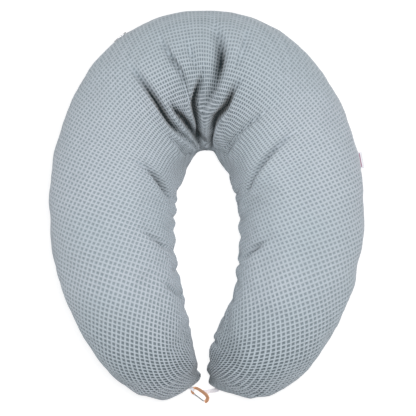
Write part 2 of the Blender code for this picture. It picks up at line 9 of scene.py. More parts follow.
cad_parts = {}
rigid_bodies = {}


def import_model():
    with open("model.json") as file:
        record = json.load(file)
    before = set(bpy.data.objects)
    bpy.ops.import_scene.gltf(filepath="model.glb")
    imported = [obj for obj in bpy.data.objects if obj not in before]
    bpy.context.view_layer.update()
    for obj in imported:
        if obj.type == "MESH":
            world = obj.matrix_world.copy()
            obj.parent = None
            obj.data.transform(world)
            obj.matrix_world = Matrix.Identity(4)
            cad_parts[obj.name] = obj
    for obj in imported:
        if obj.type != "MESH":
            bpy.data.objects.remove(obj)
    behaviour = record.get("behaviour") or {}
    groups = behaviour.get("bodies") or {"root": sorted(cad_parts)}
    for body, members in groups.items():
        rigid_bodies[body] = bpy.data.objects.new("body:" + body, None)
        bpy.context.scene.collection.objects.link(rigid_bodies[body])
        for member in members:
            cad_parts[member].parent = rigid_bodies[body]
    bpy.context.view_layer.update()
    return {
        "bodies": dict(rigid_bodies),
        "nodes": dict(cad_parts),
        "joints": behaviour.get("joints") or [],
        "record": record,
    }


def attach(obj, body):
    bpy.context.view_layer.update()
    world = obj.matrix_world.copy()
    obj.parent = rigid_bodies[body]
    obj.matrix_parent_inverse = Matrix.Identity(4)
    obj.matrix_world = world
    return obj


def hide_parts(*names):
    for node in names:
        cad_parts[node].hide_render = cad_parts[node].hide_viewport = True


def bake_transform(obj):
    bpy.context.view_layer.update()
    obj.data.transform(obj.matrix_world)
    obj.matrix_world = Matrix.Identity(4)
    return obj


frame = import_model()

# ---- the pillow's shape, as in the CAD source ----------------------------------------------
CROWN_TOP_Y = 0.3555
OUTER_ARCS = ((0.2565, 61.0), (0.4655, 61.0), (0.2113, 41.0), (0.138, 39.0))
CROWN_DEPTH = 0.251
INNER_HEADING = 13.5
INNER_ARCS = ((0.0434, 43.6), (0.1996, 27.4), (0.4477, 25.0), (-0.5718, -14.2))
RIB_FAN_START = 1.85
RIB_FAN_END = 1.30
RIB_FAN_BALANCE = 1.32
TIP_END = {"left": 0.935, "right": 0.972}
PILLOW_HEIGHT = 0.190
TAPER_WIDTH = 0.13
TAPER_POWER = 1.3
SEAM_RATIO = 0.42
TOP_FULLNESS = 2.2
BASE_FULLNESS = 3.0
FLAT_SINK = 0.008
CROWN_RADIUS = OUTER_ARCS[0][0]
CROWN_CENTRE = (0.0, CROWN_TOP_Y - CROWN_RADIUS)

# ---- how finely the cover is made ----------------------------------------------------------
HALF_ROWS = 560               # rows from the crown's middle to a tip
NOSE_ROWS = 14                # of them, rows that round the tip off
TOP_COLUMNS = 174
BASE_COLUMNS = 140
COARSE = 4                    # every fourth row and column makes the simulated cloth and the linings

# ---- cloth ---------------------------------------------------------------------------------
CELL = 0.0070                 # waffle pitch
PATTERN_TURN = 33.0           # degrees that the weave leans away from a rib on the horns
PATTERN_REACH = 0.70          # share of the outer seam by which it leans fully
PATTERN_SHEAR = 0.25          # how far the weave is pulled out of square along the limbs
PATTERN_STRETCH = 0.15        # how much longer the cells are along the horns
PIT_DEPTH = 0.0028
NOSE_LENGTH = {"left": 0.024, "right": 0.014}   # share of the outer seam


# ---- simulated swelling --------------------------------------------------------------------
CLOTH_FRAMES = 20
CLOTH_PRESSURE = 4.0
CLOTH_MASS = 0.25
CLOTH_STIFFNESS = 10.0
CLOTH_BENDING = 0.2
CLOTH_SPARE = -0.035          # negative shrink: a little more cloth than the smooth shape needs
CLOTH_CAP = 0.005             # furthest that the simulated cloth may move
CLOTH_CALM = (4.0, 32.0)      # fine columns from the outer seam over which the swelling starts
HELD_TIP_ROWS = 6             # coarse rows held at either tip
HELD_SEAM_COLUMNS = (6, 12)   # fine columns held above and below the inner seam
RESTING_HEIGHT = 0.004        # cloth lower than this lies on the floor and is held

rng = np.random.RandomState(11)


# ---- geometry helpers ----------------------------------------------------------------------
def arc_chain(start, heading, arcs, steps=80):
    x, y = start
    turn = math.radians(heading)
    points = [(x, y)]
    for radius, degrees in arcs:
        sweep = math.radians(degrees)
        centre_x = x - radius * math.sin(turn)
        centre_y = y - radius * math.cos(turn)
        for step in range(1, steps + 1):
            angle = turn + sweep * step / steps
            points.append((centre_x + radius * math.sin(angle), centre_y + radius * math.cos(angle)))
        x, y = points[-1]
        turn += sweep
    points = np.array(points)
    lengths = np.concatenate(([0.0], np.cumsum(np.linalg.norm(np.diff(points, axis=0), axis=1))))
    return points, lengths


OUTER_CHAIN = arc_chain((0.0, CROWN_TOP_Y), 0.0, OUTER_ARCS)
INNER_CHAIN = arc_chain((0.0, CROWN_TOP_Y - CROWN_DEPTH), INNER_HEADING, INNER_ARCS)
OUTER_LENGTH = OUTER_CHAIN[1][-1]


def along(chain, share):
    points, lengths = chain
    target = share * lengths[-1]
    return np.stack([np.interp(target, lengths, points[:, axis]) for axis in (0, 1)], axis=-1)


def rib_ends(station):
    """Inner and outer seam points; station runs -1 (left tip) to 1 (right tip)."""
    station = np.asarray(station, float)
    share = np.abs(station)
    near = share ** RIB_FAN_START
    inner_share = near / (near + RIB_FAN_BALANCE * (1.0 - share) ** RIB_FAN_END)
    side = np.where(station < 0.0, -1.0, 1.0)
    inner = along(INNER_CHAIN, inner_share)
    outer = along(OUTER_CHAIN, share)
    inner[..., 0] *= side
    outer[..., 0] *= side
    return inner, outer


def local_height(width):
    slack = np.tanh(width / TAPER_WIDTH) / math.tanh(CROWN_DEPTH / TAPER_WIDTH)
    return PILLOW_HEIGHT * slack ** TAPER_POWER


def panel_profile(half, height, panel, columns):
    """(reach, z) across one panel from the outer seam to the inner seam, evenly spaced."""
    angle = np.linspace(0.0, math.pi, 361)
    power = 2.0 / (TOP_FULLNESS if panel == "top" else BASE_FULLNESS)
    cosine = np.cos(angle)
    sine = np.clip(np.sin(angle), 0.0, 1.0)
    seam = SEAM_RATIO * height
    reach = np.sign(cosine) * np.abs(cosine) ** power * half
    if panel == "top":
        z = seam + (height - seam) * sine ** power
    else:
        sink = FLAT_SINK * height / PILLOW_HEIGHT
        z = np.maximum(0.0, seam - (seam + sink) * sine ** power)
    steps = np.hypot(np.diff(reach), np.diff(z))
    length = np.concatenate(([0.0], np.cumsum(steps)))
    even = np.linspace(0.0, length[-1], columns + 1)
    return np.interp(even, length, reach), np.interp(even, length, z), even


def ease(value, low, high):
    """0 below low, 1 above high, smooth between."""
    share = np.clip((value - low) / (high - low), 0.0, 1.0)
    return share * share * (3.0 - 2.0 * share)


def cover_surface(side):
    """Grid of points for one half of the cover, and its place on the flat cloth.

    Rows run from the crown's middle to the tip.  Columns run over the top panel from the outer
    to the inner seam, then under the pillow back to the outer seam.
    """
    sign = -1.0 if side == "left" else 1.0
    end = TIP_END[side]
    body_rows = HALF_ROWS - NOSE_ROWS
    nose_start = end - NOSE_LENGTH[side]
    stations = np.linspace(0.0, nose_start, body_rows + 1)
    nose = np.linspace(0.0, math.pi / 2.0, NOSE_ROWS + 1)[1:]
    stations = np.concatenate((stations, nose_start + (end - nose_start) * np.sin(nose)))
    shrink = np.concatenate((np.ones(body_rows + 1), np.cos(nose) ** 0.8))
    inner, outer = rib_ends(sign * stations)
    across = outer - inner
    width = np.linalg.norm(across, axis=1)
    direction = across / width[:, None]
    height = local_height(width)
    rows = []
    cloth_rows = []
    lean = np.radians(PATTERN_TURN) * ease(stations, 0.0, PATTERN_REACH)
    stretch = 1.0 + PATTERN_STRETCH * ease(stations, 0.45, 0.80)
    step = np.diff(stations, prepend=0.0) * OUTER_LENGTH / stretch
    cloth_x = np.cumsum(step * np.cos(lean))
    cloth_y = np.cumsum(-step * np.sin(lean))
    shear = PATTERN_SHEAR * (ease(stations, 0.15, 0.45) - ease(stations, 0.55, 0.90))
    for index in range(len(stations)):
        middle = (inner[index] + outer[index]) / 2.0
        half = width[index] / 2.0
        seam = SEAM_RATIO * height[index]
        row = []
        cloth = []
        for panel, columns in (("top", TOP_COLUMNS), ("base", BASE_COLUMNS)):
            reach, z, even = panel_profile(half, height[index], panel, columns)
            reach = reach * shrink[index]
            z = seam + (z - seam) * shrink[index]
            if panel == "base":
                reach, z, even = reach[::-1][1:], z[::-1][1:], even[::-1][1:]
            place = middle[None, :] + direction[index][None, :] * reach[:, None]
            row.append(np.column_stack((place, z)))
            down = np.array((shear[index] - math.sin(lean[index]), -math.cos(lean[index])))
            flat = np.array((cloth_x[index], cloth_y[index]))[None, :] + down[None, :] * even[:, None]
            flat[:, 0] *= sign
            cloth.append(flat)
        rows.append(np.concatenate(row))
        cloth_rows.append(np.concatenate(cloth))
    return np.array(rows), np.array(cloth_rows), stations


def grid_normals(points):
    """Outward normals of a grid whose columns close on themselves."""
    along_rows = np.gradient(points, axis=0)
    ahead = np.roll(points[:, :-1], -1, axis=1)
    behind = np.roll(points[:, :-1], 1, axis=1)
    around = ahead - behind
    around = np.concatenate((around, around[:, :1]), axis=1)
    normal = np.cross(along_rows, around)
    normal /= np.maximum(np.linalg.norm(normal, axis=2, keepdims=True), 1e-12)
    return normal


# ---- folds and gathers ---------------------------------------------------------------------
# Each fold: which side of it slopes softly (1 the left of its run, -1 the right), points across
# the top of the pillow from the outside in, how deep it is at its deepest, its half width, and
# how far towards its inner end it is deepest (0 to 1).
FOLDS = (
    ("a", 1, ((-0.136, 0.260), (-0.090, 0.192), (-0.060, 0.146), (-0.034, 0.121), (-0.019, 0.108)),
     0.032, 0.0042, 0.60),
    ("b", 1, ((-0.070, 0.196), (-0.051, 0.168), (-0.035, 0.149), (-0.017, 0.122), (-0.009, 0.107)),
     0.038, 0.0050, 0.68),
    ("c", -1, ((-0.079, 0.304), (-0.058, 0.265), (-0.046, 0.245), (-0.037, 0.229), (-0.026, 0.181)),
     0.016, 0.0038, 0.45),
    ("d", 1, ((0.002, 0.256), (-0.004, 0.229), (-0.015, 0.203), (-0.020, 0.177), (-0.013, 0.144),
              (-0.007, 0.110)), 0.036, 0.0044, 0.62),
    ("e", -1, ((0.010, 0.338), (0.026, 0.300), (0.032, 0.265), (0.026, 0.232), (0.014, 0.200),
               (-0.002, 0.170)), 0.026, 0.0092, 0.52),
    ("f", -1, ((0.072, 0.229), (0.053, 0.205), (0.037, 0.173), (0.018, 0.149), (0.010, 0.122),
               (0.008, 0.106)), 0.038, 0.0046, 0.62),
    ("g", 1, ((0.073, 0.310), (0.066, 0.272), (0.053, 0.240)), 0.008, 0.0044, 0.50),
    ("h", -1, ((0.172, 0.146), (0.145, 0.121), (0.116, 0.094), (0.089, 0.061), (0.068, 0.026)),
     0.015, 0.0040, 0.70),
    ("i", -1, ((0.134, 0.185), (0.073, 0.140), (0.032, 0.104)), 0.010, 0.0038, 0.65),
    ("j", 1, ((-0.138, 0.094), (-0.100, 0.067), (-0.076, 0.040), (-0.060, 0.018)), 0.015, 0.0040, 0.72),
    ("k", 1, ((-0.120, -0.029), (-0.090, -0.052), (-0.062, -0.078)), 0.010, 0.0040, 0.75),
    ("l", 1, ((-0.085, -0.115), (-0.073, -0.130), (-0.040, -0.166)), 0.009, 0.0040, 0.80),
    ("m", -1, ((0.112, -0.050), (0.085, -0.070), (0.060, -0.092)), 0.010, 0.0040, 0.75),
    ("n", 1, ((-0.072, 0.128), (-0.050, 0.112), (-0.034, 0.092)), 0.010, 0.0036, 0.70),
    ("o", -1, ((0.066, 0.124), (0.048, 0.110), (0.034, 0.092)), 0.010, 0.0036, 0.70),
    ("p", 1, ((-0.030, 0.290), (-0.022, 0.262), (-0.012, 0.238)), 0.009, 0.0046, 0.50),
)
ZIP_REACH = 0.21              # share of the outer seam that the zip covers, and its margin
ZIP_COLUMNS = 24              # columns of the base panel behind the zip
CROTCH_Y = 0.165              # middle of the gathered cloth above the lap opening
TIP_PUSH = 0.012
HORN_SLUMP = 0.009
GATHER_SPACING = 0.036
GATHER_DEPTH = 0.0042
FOLD_STEEP = (0.6, 2.4, 0.26)  # steep side: groove and crest as shares of the half width, crest's rise
FOLD_SOFT = (1.5, 4.0, 0.16)   # the same on the soft side
FOLD_LEFT = 0.45               # share of a fold's depth left at its inner end


def smooth_line(points, per_span=14):
    """Catmull-Rom points through a short list."""
    points = np.array(points, float)
    ends = np.concatenate(([2 * points[0] - points[1]], points, [2 * points[-1] - points[-2]]))
    t = np.linspace(0.0, 1.0, per_span, endpoint=False)[:, None]
    line = []
    for a, b, c, d in zip(ends, ends[1:], ends[2:], ends[3:]):
        line.append(0.5 * (2 * b + (c - a) * t + (2 * a - 5 * b + 4 * c - d) * t ** 2
                           + (3 * b - 3 * c + d - a) * t ** 3))
    return np.concatenate(line + [points[-1:]])


def near_line(xy, line):
    """Signed distance to a line, and the share of its length where the nearest point lies."""
    best = np.full(len(xy), 1e9)
    side = np.ones(len(xy))
    share = np.zeros(len(xy))
    lengths = np.concatenate(([0.0], np.cumsum(np.linalg.norm(np.diff(line, axis=0), axis=1))))
    for index, (a, b) in enumerate(zip(line, line[1:])):
        run = b - a
        t = np.clip(((xy - a) @ run) / (run @ run), 0.0, 1.0)
        off = xy - (a + t[:, None] * run)
        distance = np.linalg.norm(off, axis=1)
        closer = distance < best
        best[closer] = distance[closer]
        turn = run[0] * off[:, 1] - run[1] * off[:, 0]
        side[closer] = np.sign(turn[closer])
        share[closer] = (lengths[index] + t[closer] * np.linalg.norm(run)) / lengths[-1]
    return best, side, share


def fold_depth(points):
    """How far the folds push each point of the top panel in."""
    xy = points[:, :2]
    push = np.zeros(len(points))
    for _, turned, line, depth, half_width, peak in FOLDS:
        line = smooth_line(line)
        low = line.min(axis=0) - 0.06
        high = line.max(axis=0) + 0.06
        near = np.all((xy > low) & (xy < high), axis=1)
        distance, side, share = near_line(xy[near], line)
        grow = np.clip(share / peak, 0.0, 1.0)
        fade = np.clip((1.0 - share) / (1.0 - peak), 0.0, 1.0)
        strength = depth * np.sin(grow * math.pi / 2.0) ** 1.4 * (FOLD_LEFT + (1.0 - FOLD_LEFT) * fade)
        beyond = np.where((share >= 1.0) | (share <= 0.0), np.exp(-(distance / half_width) ** 2), 1.0)
        soft = side * turned > 0
        groove_share, crest_share, rise = (np.where(soft, mild, sharp)
                                           for mild, sharp in zip(FOLD_SOFT, FOLD_STEEP))
        reach = half_width * groove_share
        groove = np.exp(-(distance / reach) ** 1.7)
        crest = half_width * crest_share
        lip = np.exp(-((distance - crest) / (0.75 * crest)) ** 2) * rise
        push[near] += strength * beyond * (groove - lip)
    return push


def gathers(stations, columns):
    """Short creases that run out from the inner seam, over and under it."""
    push = np.zeros((len(stations), columns))
    inner, _ = rib_ends(stations)
    steps = np.linalg.norm(np.diff(inner, axis=0), axis=1)
    run = np.concatenate(([0.0], np.cumsum(steps)))
    position = np.arange(columns)
    from_seam = np.abs(position - TOP_COLUMNS) * 0.0018
    place = 0.012
    while place < run[-1] * 0.97:
        depth = GATHER_DEPTH * rng.uniform(0.45, 1.25)
        reach = rng.uniform(0.016, 0.055)
        width = rng.uniform(0.0034, 0.0080)
        drift = rng.uniform(-0.35, 0.25)
        for under in (False, True):
            here = position > TOP_COLUMNS if under else position <= TOP_COLUMNS
            centre = place + drift * from_seam * (0.5 if under else 1.0)
            distance = np.abs(run[:, None] - centre[None, :])
            shoulder = np.exp(-((distance - 2.4 * width) / (1.5 * width)) ** 2)
            wave = np.exp(-(distance / width) ** 1.8) - 0.4 * shoulder
            fade = np.exp(-(from_seam / reach) ** 1.5)
            push += np.where(here[None, :], depth * wave * fade[None, :], 0.0)
        place += GATHER_SPACING * rng.uniform(0.55, 1.45)
    return push


def ripples(points, seed, size, count):
    """Soft unevenness of stuffed cloth: a few waves in random directions."""
    noise = np.random.RandomState(seed)
    total = np.zeros(points.shape[:-1])
    for _ in range(count):
        wave = noise.normal(size=3)
        wave /= np.linalg.norm(wave)
        wave *= 2.0 * math.pi / (size * noise.uniform(0.7, 1.5))
        total += np.sin(points @ wave + noise.uniform(0.0, 2.0 * math.pi))
    return total / math.sqrt(count)


def seam_groove(columns):
    """1 on the two seams, falling to 0 over a few millimetres."""
    position = np.arange(columns)
    last = columns - 1
    distance = np.minimum(np.abs(position - TOP_COLUMNS), np.minimum(position, last - position)) * 0.0020
    return np.exp(-(distance / 0.0035) ** 1.5)


def waffle_pit(cloth):
    """0 on the raised ribs of the weave, 1 at the bottom of a cell."""
    inset = np.minimum(np.abs(np.sin(math.pi * cloth[..., 0] / CELL)),
                       np.abs(np.sin(math.pi * cloth[..., 1] / CELL)))
    rise = np.clip((inset - 0.22) / 0.68, 0.0, 1.0)
    return rise * rise * (3.0 - 2.0 * rise)


def settle(points):
    """How this pillow lies: the tips pushed over to the left, and both horns slumped outwards."""
    x, y, z = points[..., 0], points[..., 1], points[..., 2]
    low = ease(-y, 0.14, 0.25) * (1.0 - 0.75 * ease(-y, 0.285, 0.335))
    sideways = -TIP_PUSH * low * np.exp(-((x - 0.005) / 0.075) ** 2)
    horn = ease(-y, 0.17, 0.33) * ease(np.abs(x), 0.030, 0.095)
    sideways = sideways + horn * np.where(x < 0.0, 0.002, -0.006)
    return np.stack((x + sideways, y - HORN_SLUMP * horn * np.where(x < 0.0, 1.0, 0.75), z), axis=-1)


def between(coarse, rows, columns):
    """Spreads values on the coarse grid over the fine one, smoothly."""
    down = np.linspace(0.0, coarse.shape[0] - 1.0, rows)
    over = np.linspace(0.0, coarse.shape[1] - 1.0, columns)
    wide = np.array([np.interp(over, np.arange(coarse.shape[1]), line) for line in coarse])
    fine = np.array([np.interp(down, np.arange(coarse.shape[0]), line) for line in wide.T]).T
    for _ in range(2):
        padded = np.pad(fine, COARSE, mode="edge")
        fine = sum(padded[COARSE + a:COARSE + a + rows, COARSE + b:COARSE + b + columns]
                   for a in range(-2, 3) for b in range(-2, 3)) / 25.0
    return fine


def blow_up():
    """Inflates the smooth pillow as one closed cloth, and returns how far each point of the two
    halves moved outwards.  The outer seam, the zip, the base and the tips are held."""
    halves = {side: cover_surface(side)[0] for side in ("left", "right")}
    rows, columns = halves["left"].shape[:2]
    whole = HALF_ROWS - NOSE_ROWS            # the rows that are not drawn together at a tip
    coarse = {side: grid[:whole:COARSE, :-1:COARSE] for side, grid in halves.items()}
    start = np.concatenate((coarse["left"][::-1], coarse["right"][1:]))
    lines, around = start.shape[:2]
    index = np.arange(lines * around).reshape(lines, around)
    after = np.roll(index, -1, axis=1)
    quads = np.stack((index[:-1], after[:-1], after[1:], index[1:]), axis=-1).reshape(-1, 4)
    mesh = bpy.data.meshes.new("cloth")
    mesh.from_pydata(start.reshape(-1, 3).tolist(), [], quads.tolist())
    made = bpy.data.objects.new("cloth", mesh)
    bpy.context.scene.collection.objects.link(made)
    place = np.arange(around) * COARSE
    above, below = HELD_SEAM_COLUMNS
    on_seams = (place < 3 * COARSE) | (place > columns - ZIP_COLUMNS)
    on_seams = on_seams | ((place > TOP_COLUMNS - above) & (place < TOP_COLUMNS + below))
    held = on_seams[None, :] | (start[..., 2] < RESTING_HEIGHT)
    held[:HELD_TIP_ROWS] = True
    held[-HELD_TIP_ROWS:] = True
    made.vertex_groups.new(name="held").add(index[held].tolist(), 1.0, "REPLACE")
    cloth = made.modifiers.new("cloth", "CLOTH")
    cloth.settings.vertex_group_mass = "held"
    cloth.settings.quality = 5
    cloth.settings.mass = CLOTH_MASS
    cloth.settings.tension_stiffness = CLOTH_STIFFNESS
    cloth.settings.compression_stiffness = CLOTH_STIFFNESS
    cloth.settings.bending_stiffness = CLOTH_BENDING
    cloth.settings.shrink_min = CLOTH_SPARE
    cloth.settings.use_pressure = True
    cloth.settings.uniform_pressure_force = CLOTH_PRESSURE
    cloth.settings.effector_weights.gravity = 0.0
    cloth.point_cache.frame_end = CLOTH_FRAMES
    for number in range(1, CLOTH_FRAMES + 1):
        bpy.context.scene.frame_set(number)
    shaped = made.evaluated_get(bpy.context.evaluated_depsgraph_get())
    final = np.empty(lines * around * 3, dtype=np.float32)
    shaped.data.vertices.foreach_get("co", final)
    final = final.reshape(start.shape)
    bpy.context.scene.frame_set(1)
    bpy.data.objects.remove(made, do_unlink=True)
    half = coarse["left"].shape[0]
    moved = {"left": (final - start)[:half][::-1], "right": (final - start)[half - 1:]}
    swell = {}
    for side, shift in moved.items():
        outward = 1.0 if side == "left" else -1.0
        normals = grid_normals(halves[side])[:whole:COARSE, :-1:COARSE] * outward
        height = (shift * normals).sum(axis=2)
        height = CLOTH_CAP * np.tanh(height / CLOTH_CAP)
        height = height * ease(np.minimum(place, columns - place), *CLOTH_CALM)[None, :]
        height = np.concatenate((height, height[:, :1]), axis=1)
        swell[side] = np.zeros((rows, columns))
        swell[side][:whole] = between(height, whole, columns)
    return swell


def build_cover(side, swell):
    points, cloth, stations = cover_surface(side)
    outward = 1.0 if side == "left" else -1.0
    normals = grid_normals(points) * outward
    rows, columns = points.shape[:2]
    top = np.arange(columns) <= TOP_COLUMNS
    push = np.zeros((rows, columns))
    flat = points[:, top].reshape(-1, 3)
    push[:, top] += fold_depth(flat).reshape(rows, -1)
    push += gathers(stations, columns)
    push += seam_groove(columns)[None, :] * 0.0022
    resting = np.clip(points[..., 2] / 0.02, 0.0, 1.0)
    push += ripples(points, 5, 0.11, 9) * 0.0016 * resting
    push += ripples(points, 8, 0.045, 9) * 0.0006 * resting
    near_zip = (stations < ZIP_REACH)[:, None] & (np.arange(columns) > columns - ZIP_COLUMNS)[None, :]
    push -= swell
    push = np.where(near_zip, np.maximum(push, 0.0006), push)
    bare = points.copy()
    bare_normals = normals
    points = points - normals * push[..., None]
    normals = grid_normals(points) * outward
    slack = ease(stations, 0.60, 0.95)[:, None]
    depth = PIT_DEPTH * (0.75 + 0.45 * slack + 0.12 * ripples(points, 3, 0.09, 6))
    points = points - normals * (waffle_pit(cloth) * depth)[..., None]
    points[..., 2] = np.maximum(points[..., 2], 0.0002)
    points[0, :, 0] = 0.0
    # painted shade: the deeper a fold pushes the cloth in, the darker its colour is painted, standing in for
    # the shadow inside the fold
    fold_shade = np.clip(push / 0.021, 0.0, 1.0) ** 1.7
    # painted shade: the slack mark, which already deepens the pits on the horns, is raised in the folds and
    # round the gathered cloth above the lap opening, and the waffle shader paints the pits darker wherever
    # it is high
    crotch = np.hypot(points[..., 0], points[..., 1] - CROTCH_Y)
    slack = np.clip(slack + 0.6 * fold_shade + 0.8 * np.exp(-(crotch / 0.09) ** 2), 0.0, 1.0)
    return settle(points), (cloth, fold_shade, slack), (bare, bare_normals, push, stations)


def lining_surface(bare, normals, push, gap, last_row):
    """A coarser surface that stays under every fold of the cover, closed at the tip."""
    rows = np.append(np.arange(0, last_row - COARSE // 2, COARSE), last_row)
    columns = np.append(np.arange(0, push.shape[1] - COARSE // 2, COARSE), push.shape[1] - 1)
    deepest = push
    for shift in (1, 1, 2, 2, 4):
        deepest = np.maximum.reduce([deepest, np.roll(deepest, shift, 0), np.roll(deepest, -shift, 0)])
        deepest = np.maximum.reduce([deepest, np.roll(deepest, shift, 1), np.roll(deepest, -shift, 1)])
    deepest[:12] = np.maximum(deepest[:12], deepest[12:24].max(axis=0))
    inward = bare - normals * (np.maximum(deepest, 0.0) + gap)[..., None]
    grid = inward[np.ix_(rows, columns)]
    grid[:, -1] = grid[:, 0]
    middle = grid[-1].mean(axis=0)
    for share in (0.6, 0.0):
        grid = np.concatenate((grid, (middle + (grid[-1] - middle) * share)[None]))
    grid[0, :, 0] = 0.0
    grid[..., 2] = np.maximum(grid[..., 2], gap)
    grid = settle(grid)
    flat = np.stack(np.meshgrid(np.arange(grid.shape[0]) * 0.007, np.arange(grid.shape[1]) * 0.007,
                                indexing="ij"), axis=-1)
    return grid, flat


def grid_object(name, points, cloth, material, flip, marks=()):
    """A mesh from a grid of points, with the cloth's own coordinates as its UV map."""
    rows, columns = points.shape[:2]
    index = np.arange(rows * columns).reshape(rows, columns)
    corners = (index[:-1, :-1], index[:-1, 1:], index[1:, 1:], index[1:, :-1])
    quads = np.stack(corners, axis=-1).reshape(-1, 4)
    if flip:
        quads = quads[:, ::-1]
    mesh = bpy.data.meshes.new(name)
    mesh.vertices.add(rows * columns)
    mesh.vertices.foreach_set("co", points.reshape(-1).astype(np.float32))
    mesh.loops.add(len(quads) * 4)
    mesh.loops.foreach_set("vertex_index", quads.reshape(-1).astype(np.int32))
    mesh.polygons.add(len(quads))
    mesh.polygons.foreach_set("loop_start", np.arange(0, len(quads) * 4, 4, dtype=np.int32))
    mesh.polygons.foreach_set("loop_total", np.full(len(quads), 4, dtype=np.int32))
    mesh.update(calc_edges=True)
    layer = mesh.uv_layers.new(name="cloth")
    flat = (cloth.reshape(-1, 2) / CELL)[quads.reshape(-1)]
    layer.data.foreach_set("uv", flat.reshape(-1).astype(np.float32))
    for mark, values in marks:
        attribute = mesh.attributes.new(mark, "FLOAT", "POINT")
        attribute.data.foreach_set("value", values.reshape(-1).astype(np.float32))
    mesh.shade_smooth()
    mesh.materials.append(material)
    made = bpy.data.objects.new(name, mesh)
    bpy.context.scene.collection.objects.link(made)
    return made


# ---- materials -----------------------------------------------------------------------------
class Nodes:
    """Short words for building a node tree."""

    def __init__(self, name, tree=None):
        self.tree = tree
        if tree is not None:
            return
        self.material = bpy.data.materials.new(name)
        self.material.use_nodes = True
        self.tree = self.material.node_tree
        self.shader = self.tree.nodes["Principled BSDF"]

    def add(self, kind, **values):
        node = self.tree.nodes.new(kind)
        for key, value in values.items():
            setattr(node, key, value)
        return node

    def link(self, source, target):
        self.tree.links.new(source, target)

    def put(self, socket, value):
        if isinstance(value, (int, float)):
            socket.default_value = value
        elif isinstance(value, tuple):
            socket.default_value = (*value, 1.0) if len(value) == 3 else value
        else:
            self.link(value, socket)

    def math(self, operation, a, b=0.0, c=0.0):
        node = self.add("ShaderNodeMath", operation=operation)
        for socket, value in zip(node.inputs, (a, b, c)):
            self.put(socket, value)
        return node.outputs[0]

    def mix(self, factor, a, b):
        node = self.add("ShaderNodeMix", data_type="RGBA")
        self.put(node.inputs["Factor"], factor)
        self.put(node.inputs[6], a)
        self.put(node.inputs[7], b)
        return node.outputs[2]

    def step(self, value, low, high):
        node = self.add("ShaderNodeMapRange", interpolation_type="SMOOTHSTEP")
        self.put(node.inputs["Value"], value)
        node.inputs["From Min"].default_value = low
        node.inputs["From Max"].default_value = high
        return node.outputs[0]

    def noise(self, scale, detail=3.0, roughness=0.5, vector=None):
        node = self.add("ShaderNodeTexNoise")
        node.inputs["Scale"].default_value = scale
        node.inputs["Detail"].default_value = detail
        node.inputs["Roughness"].default_value = roughness
        if vector is not None:
            self.link(vector, node.inputs["Vector"])
        return node.outputs["Fac"]

    def wave(self, value, count):
        """A sine with count half waves in each unit."""
        return self.math("SINE", self.math("MULTIPLY", value, math.pi * count))

    def mottle(self, scale, low, high, vector=None, detail=3.0):
        return self.mix(self.noise(scale, detail, 0.5, vector), low, high)

    def bump(self, height, strength, distance, normal=None):
        node = self.add("ShaderNodeBump")
        node.inputs["Strength"].default_value = strength
        node.inputs["Distance"].default_value = distance
        self.link(height, node.inputs["Height"])
        if normal is not None:
            self.link(normal, node.inputs["Normal"])
        return node.outputs[0]

    def mark(self, name):
        return self.add("ShaderNodeAttribute", attribute_name=name).outputs["Fac"]

    def place(self):
        return self.add("ShaderNodeTexCoord").outputs["Object"]

    def cloth(self):
        split = self.add("ShaderNodeSeparateXYZ")
        self.link(self.add("ShaderNodeUVMap", uv_map="cloth").outputs[0], split.inputs[0])
        return split.outputs[0], split.outputs[1]

    def finish(self, colour, normal, roughness, **others):
        """Connects the shader and returns the material; an underscore stands for a space."""
        others.update(Base_Color=colour, Normal=normal, Roughness=roughness)
        for name, value in others.items():
            self.put(self.shader.inputs[name.replace("_", " ")], value)
        return self.material


def waffle_material(name):
    """Grey-blue waffle weave: pale raised ribs, cells painted darker as the shade in their hollows, yarns
    along both directions; the slack and fold marks paint more shade into pits and folds.
    """
    n = Nodes(name)
    u, v = n.cloth()
    place = n.place()
    # the slack mark widens the cells and also carries painted shade for the pits
    slack_and_pit_shade = n.mark("slack")
    wobble = n.math("MULTIPLY", n.math("SUBTRACT", n.noise(90.0, vector=place), 0.5), 0.25)
    across = n.math("ABSOLUTE", n.wave(n.math("ADD", u, wobble), 1.0))
    down = n.math("ABSOLUTE", n.wave(n.math("ADD", v, wobble), 1.0))
    inset = n.math("MINIMUM", across, down)
    cell = n.step(n.math("MULTIPLY_ADD", slack_and_pit_shade, 0.14, inset), 0.34, 0.88)
    yarn = n.math("MULTIPLY", n.wave(u, 14.0), n.wave(v, 14.0))
    fuzz = n.noise(900.0, 4.0, 0.65, place)
    rib = n.mottle(26.0, (0.475, 0.530, 0.590), (0.545, 0.598, 0.650), place)
    rib = n.mix(n.math("MULTIPLY", fuzz, 0.35), rib, (0.66, 0.70, 0.74))
    rib = n.mix(n.step(n.noise(5.0, 2.0, 0.5, place), 0.35, 0.65), rib, (0.490, 0.556, 0.603))
    # painted shade in the cells: the pits get a darker colour than the ribs, standing in for the shade in
    # the waffle's hollows
    pit = n.mottle(60.0, (0.270, 0.330, 0.362), (0.345, 0.400, 0.432), place, 2.0)
    # painted shade in the pits: where the slack mark is high they are painted near black
    pit = n.mix(slack_and_pit_shade, pit, (0.030, 0.052, 0.062))
    shade = n.math("MULTIPLY_ADD", yarn, 0.05, cell)
    weave = n.mix(n.math("MINIMUM", n.math("MAXIMUM", shade, 0.0), 1.0), rib, pit)
    height = n.math("MULTIPLY_ADD", yarn, 0.35, n.math("MULTIPLY", fuzz, 0.6))
    ribs = n.bump(n.math("SUBTRACT", 1.0, cell), 0.5, 0.0010)
    # painted shade in the folds: the colour is darkened to near black where the fold mark is high
    shadowed = n.mix(n.mark("fold_shade"), weave, (0.012, 0.024, 0.029))
    return n.finish(shadowed, n.bump(height, 0.45, 0.0003, ribs), 0.92, Sheen_Weight=0.25,
                    Sheen_Roughness=0.5, Specular_IOR_Level=0.25)


